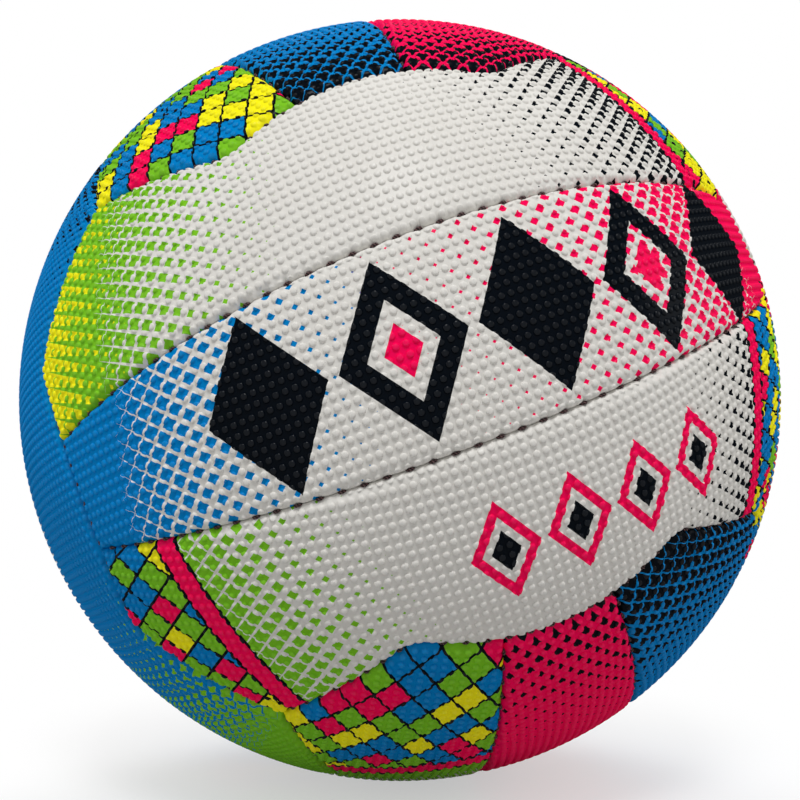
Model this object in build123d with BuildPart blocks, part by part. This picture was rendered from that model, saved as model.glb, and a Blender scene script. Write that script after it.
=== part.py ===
"""An eighteen-panel stitched netball, size 5.

Six faces of three strips each, turned on one another like the sides of a cube. A face is drawn in its
own frame: X runs along its strips, Y across them and Z out through its middle. All lengths are in
millimetres and all angles in degrees. The ball's centre is the origin, +Z is up, the front face looks
along -Y and the inflation valve is in the middle of the back face, on +Y.
"""

import os
from math import acos, cos, degrees, radians, sin, sqrt

from build123d import *

# The ball and its layers
ball_diameter = 222.0
cover_wall = 1.6
lining_wall = 1.2
bladder_wall = 1.0
bond_gap = 0.05
bladder_gap = 0.1

# The strips, the shape of their ends, and how far the ball is turned about Y
strip_width = 46.4
lobe_angle = 29.5
lobe_round = 6.0
lie_angle = 21.4

# The seams
seam_gap = 0.9
edge_roll = 1.2
turned_edge = 1.6
thread_diameter = 0.7
thread_depth = 1.45
thread_free_end = 6.5

# The valve
valve_diameter = 9.0
valve_flange_diameter = 30.0
valve_flange_wall = 1.2
valve_tail = 8.0
valve_recess = 0.3
valve_rim_round = 0.5
valve_hole_clearance = 0.15
core_diameter = 5.0
core_recess = 0.8
core_fit = 0.05
needle_bore_diameter = 2.0

# Radii of the layers, from the outside in
ball_radius = ball_diameter / 2
cover_inner = ball_radius - cover_wall
lining_outer = cover_inner - bond_gap
lining_inner = lining_outer - lining_wall
bladder_outer = lining_inner - bladder_gap
bladder_inner = bladder_outer - bladder_wall

# Angles around a face's X axis and along it, from the middle of the face
strip_angle = degrees(strip_width / ball_radius)
seam_lune = strip_angle / 2
end_angle = 90 - 1.5 * strip_angle
corner_lune = 45.0
corner_angle = degrees(acos(sqrt(2 / 3)))
lune_limit = 52.0

# How far each layer's outline is drawn in from the seam
cover_inset = seam_gap / 2
pocket_inset = cover_inset + turned_edge
lining_inset = pocket_inset + bond_gap
tool_reach = 5.0


def direction(along, around):
    """Unit vector at an angle along the strips and an angle around the face's X axis."""
    across = cos(radians(along))
    return Vector(sin(radians(along)), across * sin(radians(around)), across * cos(radians(around)))


def arc_angle(length):
    """Angle at the ball's centre over a length on its surface."""
    return degrees(length / ball_radius)


def at_corner(vector, end, side):
    """A vector given for the corner at +X and +Y, or its mirror image at another corner of the face."""
    return Vector(end * vector.X, side * vector.Y, vector.Z)


# The face beyond the +Y seam: its strips run along this face's Z and end at that seam
next_face = Plane((0, 0, 0), x_dir=(0, 0, 1), z_dir=(0, 1, 0))

# The end of a strip follows a circle about X as far as the lobe, then a straight flank to the corner
# where three faces meet. The flank's normal points away from the strips that end there.
lobe_point = direction(end_angle, lobe_angle)
corner_point = direction(corner_angle, corner_lune)
flank_normal = lobe_point.cross(corner_point).normalized()
flank_normal = flank_normal if flank_normal.X > 0 else -flank_normal


def shell_sector(plane, inner, outer, reach):
    """Flat sector of the shell between two radii, reaching as far either side of the plane's Y axis."""
    with BuildSketch(plane) as sector:
        with BuildLine():
            outside = CenterArc((0, 0), outer, 90 - reach, 2 * reach)
            inside = CenterArc((0, 0), inner, 90 - reach, 2 * reach)
            Line(outside @ 0, inside @ 0)
            Line(outside @ 1, inside @ 1)
        make_face()
    return sector.sketch


def meridian(around):
    """Plane through the face's X axis, whose own Y points outwards at an angle around X."""
    return Plane((0, 0, 0), x_dir=(1, 0, 0), z_dir=(0, -cos(radians(around)), sin(radians(around))))


def seam_side(side):
    """Direction square to the seam beside the middle strip, pointing away from that strip."""
    return Vector(0, side * cos(radians(seam_lune)), -sin(radians(seam_lune)))


def middle_strip(inset, inner, outer):
    """The middle strip of a face, drawn in from its seams."""
    with BuildPart() as strip:
        reach = end_angle - arc_angle(inset)
        revolve(shell_sector(meridian(seam_lune), inner, outer, reach), Axis.X, strip_angle)
        for side in (1, -1):
            away = seam_side(side)
            split(bisect_by=Plane(away * -inset, z_dir=away), keep=Keep.BOTTOM)
    return strip.part


def strip_ends(outset, inner, outer):
    """The +X end of all three strips of a face, widened past their end seam."""
    with BuildPart() as ends:
        reach = end_angle + arc_angle(outset)
        revolve(shell_sector(meridian(lune_limit), inner, outer, reach), Axis.X, 2 * lune_limit)
        for side in (1, -1):
            away = at_corner(flank_normal, 1, side)
            split(bisect_by=Plane(away * outset, z_dir=away), keep=Keep.BOTTOM)
    return ends.part


def wall_edge(part, point):
    """The edge between two walls of a strip that is nearest to a point of its outline."""
    between_walls = part.edges().filter_by(GeomType.CIRCLE, reverse=True)
    return between_walls.sort_by(lambda edge: (edge.center() - point).length)[0]


def outer_strip(inset, inner, outer):
    """The strip on the +Y side of a face, drawn in from its seams, with rounded lobes."""
    cutter = next_face.location * strip_ends(inset, inner - tool_reach, outer + tool_reach)
    with BuildPart() as strip:
        reach = end_angle - arc_angle(inset)
        sweep_angle = lune_limit - seam_lune
        revolve(shell_sector(meridian(lune_limit), inner, outer, reach), Axis.X, sweep_angle)
        away = -seam_side(1)
        split(bisect_by=Plane(away * -inset, z_dir=away), keep=Keep.BOTTOM)
        for end in (1, -1):
            away = at_corner(flank_normal, end, 1)
            split(bisect_by=Plane(away * -inset, z_dir=away), keep=Keep.BOTTOM)
        add(cutter, mode=Mode.SUBTRACT)
        middle = (inner + outer) / 2
        lobes = [at_corner(lobe_point, end, 1) * middle for end in (1, -1)]
        fillet([wall_edge(strip.part, lobe) for lobe in lobes], lobe_round - inset)
        bay_point = next_face.from_local_coords(lobe_point)
        bays = [at_corner(bay_point, end, 1) * middle for end in (1, -1)]
        fillet([wall_edge(strip.part, bay) for bay in bays], lobe_round + inset)
    return strip.part


def outside_edges(part):
    """The edges around the outer face of a strip."""
    return part.faces().filter_by(GeomType.SPHERE).sort_by(SortBy.AREA)[-1].edges()


# Cover strips: moulded rubber trays with rolled edges that turn in around their linings
with BuildPart() as middle_cover:
    add(middle_strip(cover_inset, lining_inner, ball_radius))
    fillet(outside_edges(middle_cover.part), edge_roll)
    add(middle_strip(pocket_inset, lining_inner - tool_reach, cover_inner), mode=Mode.SUBTRACT)

with BuildPart() as outer_cover:
    add(outer_strip(cover_inset, lining_inner, ball_radius))
    fillet(outside_edges(outer_cover.part), edge_roll)
    add(outer_strip(pocket_inset, lining_inner - tool_reach, cover_inner), mode=Mode.SUBTRACT)

# Linings: laminated cloth bonded into the back of each cover strip
with BuildPart() as middle_lining:
    add(middle_strip(lining_inset, lining_inner, lining_outer))

with BuildPart() as outer_lining:
    add(outer_strip(lining_inset, lining_inner, lining_outer))

# The valve's face has a round hole through its middle strip, its lining and the bladder
with BuildSketch() as valve_hole:
    Circle(valve_diameter / 2 + valve_hole_clearance)

with BuildPart() as valve_cover:
    add(middle_cover.part)
    extrude(valve_hole.sketch, ball_diameter, mode=Mode.SUBTRACT)

with BuildPart() as valve_lining:
    add(middle_lining.part)
    extrude(valve_hole.sketch, ball_diameter, mode=Mode.SUBTRACT)

# Bladder: a round butyl bag under the linings
with BuildPart() as bladder:
    Sphere(bladder_outer)
    Sphere(bladder_inner, mode=Mode.SUBTRACT)
    extrude(valve_hole.sketch, ball_diameter, mode=Mode.SUBTRACT)

# Valve boot: a flange bonded inside the bladder and a stem that comes out through the cover
flange_outer = bladder_inner - bond_gap
flange_inner = flange_outer - valve_flange_wall
valve_top = ball_radius - valve_recess
valve_foot = flange_inner - valve_tail
with BuildPart() as valve_boot:
    with BuildSketch():
        Circle(valve_flange_diameter / 2)
    extrude(amount=ball_diameter)
    Sphere(flange_outer, mode=Mode.INTERSECT)
    Sphere(flange_inner, mode=Mode.SUBTRACT)
    with BuildSketch(Plane.XY.offset(valve_foot)):
        Circle(valve_diameter / 2)
    extrude(amount=valve_top - valve_foot)
    fillet(valve_boot.edges().filter_by(GeomType.CIRCLE).sort_by(Axis.Z)[-1], valve_rim_round)
    with BuildSketch(Plane.XY.offset(valve_foot)):
        Circle(core_diameter / 2 + core_fit)
    extrude(amount=valve_top - valve_foot, mode=Mode.SUBTRACT)

# Valve core: the soft plug in the boot, with the bore that takes an inflating needle
core_top = valve_top - core_recess
with BuildPart() as valve_core:
    with BuildSketch(Plane.XY.offset(valve_foot)):
        Circle(core_diameter / 2)
        Circle(needle_bore_diameter / 2, mode=Mode.SUBTRACT)
    extrude(amount=core_top - valve_foot)

# Seam threads: waxed thread drawn along the gap between two strips, one length to each stretch of seam
def thread(middle, along, bend_axis, seam_length, bend_radius):
    """A length of thread that bends about an axis, half of it either side of its middle point."""
    half_bend = degrees((seam_length / 2 - thread_free_end) / bend_radius)
    axis = Axis((0, 0, 0), bend_axis)
    with BuildSketch(Plane(middle * (ball_radius - thread_depth), z_dir=along)) as section:
        Circle(thread_diameter / 2)
    with BuildPart() as length_of_thread:
        revolve(section.sketch.rotate(axis, -half_bend), axis, 2 * half_bend)
    return length_of_thread.part


strip_seam = 2 * radians(end_angle) * ball_radius
end_radius = cos(radians(end_angle)) * ball_radius
end_seam = 2 * radians(lobe_angle) * end_radius
flank_seam = radians(lobe_point.get_angle(corner_point)) * ball_radius
flank_middle = (lobe_point + corner_point).normalized()
flank_along = flank_normal.cross(flank_middle)

with BuildPart() as face_threads:
    for side in (1, -1):
        add(thread(direction(0, side * seam_lune), (1, 0, 0), seam_side(side), strip_seam, ball_radius))
    for end in (1, -1):
        add(thread(direction(end * end_angle, 0), (0, 1, 0), (1, 0, 0), end_seam, end_radius))
        for side in (1, -1):
            middle, along, axis = (at_corner(v, end, side) for v in (flank_middle, flank_along, flank_normal))
            add(thread(middle, along, axis, flank_seam, ball_radius))

# The six faces: the way their strips run, the way they look, and the names of their +Y and -Y sides
faces = {
    "front": ((1, 0, 0), (0, -1, 0), ("upper", "lower")),
    "back": ((-1, 0, 0), (0, 1, 0), ("upper", "lower")),
    "right": ((0, 0, 1), (1, 0, 0), ("front", "rear")),
    "left": ((0, 0, 1), (-1, 0, 0), ("rear", "front")),
    "top": ((0, 1, 0), (0, 0, 1), ("left", "right")),
    "bottom": ((0, 1, 0), (0, 0, -1), ("right", "left")),
}
valve_face = "back"
half_turn = Location((0, 0, 0), (0, 0, 180))


def face_place(strip_axis, outward):
    """Where a face's own frame lies in the ball, once the ball is turned about Y."""
    x_dir, z_dir = (Vector(v).rotate(Axis.Y, -lie_angle) for v in (strip_axis, outward))
    return Plane((0, 0, 0), x_dir=x_dir, z_dir=z_dir).location


def export(solid, place, name):
    """Puts a solid in its place in the ball and writes it under its name."""
    with BuildPart() as piece:
        with Locations(place):
            add(solid)
    piece.part.label = name
    export_step(piece.part, f"parts/{name}.step")


os.makedirs("parts", exist_ok=True)
for face, (strip_axis, outward, side_names) in faces.items():
    place = face_place(strip_axis, outward)
    valved = face == valve_face
    export(valve_cover.part if valved else middle_cover.part, place, f"cover_{face}_middle")
    export(valve_lining.part if valved else middle_lining.part, place, f"lining_{face}_middle")
    for side_name, side_place in zip(side_names, (place, place * half_turn)):
        export(outer_cover.part, side_place, f"cover_{face}_{side_name}")
        export(outer_lining.part, side_place, f"lining_{face}_{side_name}")
    export(face_threads.part, place, f"seam_thread_{face}")

valve_place = face_place(*faces[valve_face][:2])
export(bladder.part, valve_place, "bladder")
export(valve_boot.part, valve_place, "valve_boot")
export(valve_core.part, valve_place, "valve_core")
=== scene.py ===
"""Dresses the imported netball: printed and pimpled cover strips, stitched seams and the layers under them.

Shapes are worked out in millimetres in a face's own frame, X along its strips, Y across them and Z out of its
middle, and are turned into the ball's frame and into metres when a mesh is made.
"""

import logging
from dataclasses import dataclass
from enum import Enum
from functools import cached_property
from math import acos, cos, pi, radians, sin, sqrt

import bpy
import numpy as np
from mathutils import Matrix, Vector
from mathutils.geometry import delaunay_2d_cdt

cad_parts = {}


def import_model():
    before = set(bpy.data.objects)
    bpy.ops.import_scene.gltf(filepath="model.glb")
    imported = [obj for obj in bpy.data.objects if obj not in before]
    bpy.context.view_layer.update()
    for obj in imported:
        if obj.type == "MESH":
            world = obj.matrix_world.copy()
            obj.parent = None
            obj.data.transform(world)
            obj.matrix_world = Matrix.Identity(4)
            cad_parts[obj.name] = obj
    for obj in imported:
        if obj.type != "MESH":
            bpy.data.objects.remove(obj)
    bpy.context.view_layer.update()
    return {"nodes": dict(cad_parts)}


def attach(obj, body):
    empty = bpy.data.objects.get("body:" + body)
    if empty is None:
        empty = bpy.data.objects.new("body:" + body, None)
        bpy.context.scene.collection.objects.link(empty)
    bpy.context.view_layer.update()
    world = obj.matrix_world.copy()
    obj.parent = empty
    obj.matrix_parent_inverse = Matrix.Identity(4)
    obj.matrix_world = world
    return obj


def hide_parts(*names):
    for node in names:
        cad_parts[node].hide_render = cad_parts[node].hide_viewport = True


log = logging.getLogger("netball")

METRES = 0.001
ROOT_BODY = "root"
FLAT_PLACE = "flat_place"
PIMPLE_LIFT = "pimple_lift"
# How far a stitch's plies stand out; the thread's finish paints a highlight where it is high.
PLY_LIFT = "ply_lift"
BAKE_MAP = "OFBake"
NO_PIMPLE = -1

# How points are joined up: over their whole hull, and as one point where they are closer than this.
WHOLE_HULL = 0
MERGED_BELOW = 1e-7

# Numbers of a Mix node's sockets for colours.
MIX_FIRST = 6
MIX_SECOND = 7
MIX_RESULT = 2

Array = np.ndarray
Socket = bpy.types.NodeSocket
Material = bpy.types.Material
Object = bpy.types.Object


class Ink(Enum):
    """The inks of the print and the rubber under it, as sRGB numbers."""

    WHITE = (228, 226, 221)
    BLUE = (0, 132, 204)
    LIME = (128, 200, 40)
    MAGENTA = (255, 6, 90)
    YELLOW = (252, 244, 30)
    NAVY = (2, 8, 17)

    def linear(self) -> tuple[float, float, float, float]:
        """The ink as a linear colour with full alpha."""
        return linear_colour(*self.value)


class End(Enum):
    """The ends of a strip: TAIL at its -X end and HEAD at its +X end."""

    TAIL = -1
    HEAD = 1


class StripKind(Enum):
    """The shapes a cover strip comes in."""

    MIDDLE = "middle"
    VALVE = "valve"
    SIDE = "side"


class RunKind(Enum):
    """The kinds of seam: between two strips, across the ends of three strips, and from there to a corner."""

    STRIP = "strip"
    END = "end"
    FLANK = "flank"


def linear_colour(red: float, green: float, blue: float) -> tuple[float, float, float, float]:
    """Turns sRGB numbers into a linear colour.

    Args:
        red: red, 0 to 255.
        green: green, 0 to 255.
        blue: blue, 0 to 255.

    Returns:
        Linear red, green and blue, and an alpha of one.
    """
    parts = []
    for number in (red, green, blue):
        share = number / 255
        parts.append(share / 12.92 if share <= 0.04045 else ((share + 0.055) / 1.055) ** 2.4)
    return (*parts, 1.0)


def direction(along: Array, around: Array) -> Array:
    """Unit vectors at an angle along the strips and an angle around the face's X axis.

    Args:
        along: angles from the middle of the face towards +X, in radians.
        around: angles around X, from Z towards Y, in radians.

    Returns:
        The vectors, on a new last axis.
    """
    across = np.cos(along)
    parts = np.broadcast_arrays(np.sin(along), across * np.sin(around), across * np.cos(around))
    return np.stack(parts, axis=-1)


@dataclass(frozen=True)
class SeamLayout:
    """Where the seams of a face run, and how the ball lies."""

    radius: float = 111.0
    strip_width: float = 46.4
    lobe_lune: float = radians(29.5)
    lobe_round: float = 6.0
    lie_angle: float = radians(21.4)

    @cached_property
    def strip_angle(self) -> float:
        """Angle around X that a strip covers."""
        return self.strip_width / self.radius

    @cached_property
    def end_angle(self) -> float:
        """Angle along X at which the strips end."""
        return pi / 2 - 1.5 * self.strip_angle

    @cached_property
    def lobe_point(self) -> Array:
        """Where the end seam turns into the flank, at the +X and +Y corner."""
        return direction(self.end_angle, self.lobe_lune)

    @cached_property
    def corner_point(self) -> Array:
        """Where three faces meet, at the +X and +Y corner."""
        return direction(acos(sqrt(2 / 3)), pi / 4)

    @cached_property
    def flank_normal(self) -> Array:
        """Unit vector square to the flank, pointing away from the strips that end there."""
        normal = np.cross(self.lobe_point, self.corner_point)
        return normal * np.sign(normal[0]) / np.linalg.norm(normal)

    @cached_property
    def lobe_cosine(self) -> float:
        """Cosine of the angle between the outward directions of the end seam and the flank.

        Returns:
            The cosine.
        """
        fall = -sin(self.end_angle)
        outward = np.array([cos(self.end_angle), fall * sin(self.lobe_lune), fall * cos(self.lobe_lune)])
        return float(outward @ self.flank_normal)

    def seam_side(self, side: int) -> Array:
        """Unit vector square to the seam beside the middle strip, pointing away from that strip."""
        return np.array([0.0, side * cos(self.strip_angle / 2), -sin(self.strip_angle / 2)])

    def arc(self, sine: Array) -> Array:
        """Length on the ball over an angle that is given by its sine."""
        return self.radius * np.arcsin(np.clip(sine, -1, 1))

    def ends_distance(self, points: Array, end: int) -> Array:
        """How far points lie inside the rounded seam around the ends of a face's three strips.

        Args:
            points: unit vectors in the face's frame.
            end: 1 for the +X end and -1 for the -X end.

        Returns:
            Lengths on the ball, below zero outside.
        """
        to_end = self.radius * self.end_angle - self.arc(end * points[..., 0])
        inside = np.full(to_end.shape, np.inf)
        slant = self.lobe_cosine
        for side in (1, -1):
            to_flank = -self.arc(points @ at_corner(self.flank_normal, end, side))
            past_end = self.lobe_round - to_end
            past_flank = self.lobe_round - to_flank
            reach = past_end**2 + past_flank**2 - 2 * slant * past_end * past_flank
            rounded = self.lobe_round - np.sqrt(np.maximum(reach, 0) / (1 - slant**2))
            in_round = (past_end > slant * past_flank) & (past_flank > slant * past_end)
            inside = np.minimum(inside, np.where(in_round, rounded, np.minimum(to_end, to_flank)))
        return inside

    def turned(self, vector: tuple[float, float, float]) -> Array:
        """A vector of the cube that the ball is laid out on, once the ball is turned about Y.

        Args:
            vector: the vector on the cube.

        Returns:
            The vector in the ball's frame.
        """
        x, y, z = vector
        turn_cos = cos(self.lie_angle)
        turn_sin = sin(self.lie_angle)
        return np.array([x * turn_cos - z * turn_sin, y, x * turn_sin + z * turn_cos])


def at_corner(vector: Array, end: int, side: int) -> Array:
    """A vector given for the +X and +Y corner of a face, or its mirror image at another corner."""
    return vector * np.array([end, side, 1.0])


def in_next_face(points: Array) -> Array:
    """Points in the frame of the face beyond the +Y seam, whose strips end at that seam."""
    return points[..., [2, 0, 1]]


LAYOUT = SeamLayout()


@dataclass(frozen=True)
class SeamRun:
    """One stretch of seam with its row of stitches, in a face's frame."""

    kind: RunKind
    end: int = 1
    side: int = 1
    pitch: float = 4.9
    free_end: float = 3.2
    pull_along: float = 1.15
    pull_across: float = 1.25

    @cached_property
    def middle(self) -> Array:
        """Unit vector to the middle of a flank."""
        halfway = LAYOUT.lobe_point + LAYOUT.corner_point
        return at_corner(halfway / np.linalg.norm(halfway), self.end, self.side)

    @cached_property
    def normal(self) -> Array:
        """Unit vector square to a flank."""
        return at_corner(LAYOUT.flank_normal, self.end, self.side)

    @cached_property
    def half_length(self) -> float:
        """Half the length of the run.

        Returns:
            The length, on the ball.
        """
        if self.kind is RunKind.STRIP:
            return LAYOUT.radius * LAYOUT.end_angle
        if self.kind is RunKind.END:
            return LAYOUT.radius * cos(LAYOUT.end_angle) * LAYOUT.lobe_lune
        return LAYOUT.radius * acos(LAYOUT.lobe_point @ LAYOUT.corner_point) / 2

    def centres(self) -> Array:
        """Places of the stitches along the run, from its middle."""
        count = int((self.half_length - self.free_end) / self.pitch + 0.5)
        return (np.arange(-count, count) + 0.5) * self.pitch

    def place(self, points: Array) -> tuple[Array, Array]:
        """Where points lie from the run.

        Args:
            points: unit vectors in the face's frame.

        Returns:
            Lengths along the run from its middle, and lengths square to it.
        """
        if self.kind is RunKind.STRIP:
            return LAYOUT.arc(points[..., 0]), LAYOUT.arc(points @ LAYOUT.seam_side(self.side))
        if self.kind is RunKind.END:
            around = np.arctan2(points[..., 1], points[..., 2])
            off = LAYOUT.arc(self.end * points[..., 0]) - LAYOUT.radius * LAYOUT.end_angle
            return LAYOUT.radius * cos(LAYOUT.end_angle) * around, off
        return LAYOUT.arc(points @ np.cross(self.normal, self.middle)), LAYOUT.arc(points @ self.normal)

    def trace(self, lengths: Array) -> Array:
        """Unit vectors to places along the run.

        Args:
            lengths: lengths along the run from its middle.

        Returns:
            The vectors, on a new last axis.
        """
        if self.kind is RunKind.STRIP:
            return direction(lengths / LAYOUT.radius, np.float64(self.side * LAYOUT.strip_angle / 2))
        if self.kind is RunKind.END:
            around = lengths / (LAYOUT.radius * cos(LAYOUT.end_angle))
            return direction(np.float64(self.end * LAYOUT.end_angle), around)
        angle = (lengths / LAYOUT.radius)[..., None]
        return self.middle * np.cos(angle) + np.cross(self.normal, self.middle) * np.sin(angle)

    def pull(self, points: Array) -> Array:
        """How strongly the stitches draw the cover in at points, from 0 to 1.

        Args:
            points: unit vectors in the face's frame.

        Returns:
            The strength at each point.
        """
        along, off = self.place(points)
        centre = (np.floor(along / self.pitch) + 0.5) * self.pitch
        last = self.centres()[-1] + self.pitch / 4
        near = np.exp(-(((along - centre) / self.pull_along) ** 2) - (off / self.pull_across) ** 2)
        return np.where(np.abs(centre) < last, near, 0.0)


def face_runs() -> list[SeamRun]:
    """The seams whose stitches belong to one face.

    Returns:
        The seams, in the face's frame.
    """
    runs = [SeamRun(RunKind.STRIP, side=side) for side in (1, -1)]
    for end in (1, -1):
        runs.append(SeamRun(RunKind.END, end=end))
        runs += [SeamRun(RunKind.FLANK, end=end, side=side) for side in (1, -1)]
    return runs


def new_mesh_object(name: str, points: Array, loops: Array, counts: Array) -> Object:
    """Makes a smooth mesh object from plain arrays.

    Args:
        name: the object's name.
        points: vertex places in metres, one row each.
        loops: vertex numbers of all faces, one face after another.
        counts: how many corners each face has.

    Returns:
        The new object, linked to the scene.
    """
    mesh = bpy.data.meshes.new(name)
    mesh.vertices.add(len(points))
    mesh.vertices.foreach_set("co", np.ascontiguousarray(points, np.float32).ravel())
    mesh.loops.add(len(loops))
    mesh.loops.foreach_set("vertex_index", np.ascontiguousarray(loops, np.int32))
    mesh.polygons.add(len(counts))
    starts = np.concatenate([[0], np.cumsum(counts)[:-1]])
    mesh.polygons.foreach_set("loop_start", np.ascontiguousarray(starts, np.int32))
    mesh.update(calc_edges=True)
    mesh.shade_smooth()
    made = bpy.data.objects.new(name, mesh)
    bpy.context.collection.objects.link(made)
    return made


def write_attribute(mesh: bpy.types.Mesh, name: str, kind: str, values: Array, domain: str = "POINT") -> None:
    """Stores values on a mesh under a name.

    Args:
        mesh: the mesh.
        name: the attribute's name.
        kind: the type of its values.
        values: one row or number for each element.
        domain: the elements that the values belong to.
    """
    part = "vector" if kind == "FLOAT_VECTOR" else "value"
    mesh.attributes.new(name, kind, domain).data.foreach_set(part, values.ravel())


def ring_points(centres: Array, radius: float, corners: int, turn: float = 0.0) -> Array:
    """Points on circles.

    Args:
        centres: the circles' middles, one row each.
        radius: their radius.
        corners: how many points each circle has.
        turn: angle of the first point.

    Returns:
        The points, one row each.
    """
    angle = turn + np.arange(corners) * 2 * pi / corners
    circle = radius * np.stack([np.cos(angle), np.sin(angle)], axis=-1)
    return (centres[:, None] + circle).reshape(-1, 2)


def evenly_spaced(loop: Array, step: float) -> Array:
    """Points at even lengths along a closed line.

    Args:
        loop: the line's points in order, one row each.
        step: about how far apart the new points are.

    Returns:
        The new points in order.
    """
    closed = np.concatenate([loop, loop[:1]])
    passed = np.concatenate([[0.0], np.cumsum(np.linalg.norm(np.diff(closed, axis=0), axis=1))])
    count = int(round(passed[-1] / step))
    places = np.arange(count) * passed[-1] / count
    return np.stack([np.interp(places, passed, closed[:, axis]) for axis in (0, 1)], axis=-1)


def loop_edges(first: int, count: int) -> list[tuple[int, int]]:
    """Pairs of point numbers around a closed line of points."""
    return [(first + place, first + (place + 1) % count) for place in range(count)]


def inside_lines(places: Array, lines: list[Array]) -> Array:
    """Whether places lie inside closed lines, by how many times a ray from them crosses the lines.

    Args:
        places: the places on the flat, one row each.
        lines: the points of each line in order, one row each.

    Returns:
        A truth value for each place.
    """
    inside = np.zeros(len(places), dtype=bool)
    along, across = places[:, :1], places[:, 1:]
    for start in lines:
        stop = np.roll(start, -1, axis=0)
        level = start[:, 1] == stop[:, 1]
        spans = (start[:, 1] > across) != (stop[:, 1] > across)
        slope = (stop[:, 0] - start[:, 0]) / np.where(level, 1.0, stop[:, 1] - start[:, 1])
        crossed = spans & (start[:, 0] + (across - start[:, 1]) * slope > along)
        inside ^= crossed.sum(1) % 2 == 1
    return inside


def triangles_inside(points: Array, loop_sizes: list[int]) -> Array:
    """Joins points up into triangles inside closed lines, whose points come first in the list.

    The joining fills the whole hull of the points, so triangles with all corners on the lines are tested, and
    those outside the lines are dropped.

    Args:
        points: the points on the flat, one row each.
        loop_sizes: how many points the outline has, and each hole after it.

    Returns:
        Point numbers of the triangles, one row each.
    """
    edges = []
    first = 0
    for size in loop_sizes:
        edges += loop_edges(first, size)
        first += size
    flat = [Vector(point) for point in points.tolist()]
    joined = delaunay_2d_cdt(flat, edges, [], WHOLE_HULL, MERGED_BELOW, True)
    source = np.array([numbers[0] for numbers in joined[3]])
    triangles = source[np.array(joined[2])]
    lines = np.split(points[:first], np.cumsum(loop_sizes)[:-1])
    doubtful = (triangles < first).all(1)
    kept = ~doubtful
    kept[doubtful] = inside_lines(points[triangles[doubtful]].mean(1), lines)
    return triangles[kept]


@dataclass(frozen=True)
class StripShape:
    """A strip's mesh as plain arrays, in its face's frame."""

    points: Array
    flat: Array
    lift: Array
    feet: Array
    map_place: Array
    loops: Array
    counts: Array


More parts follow.
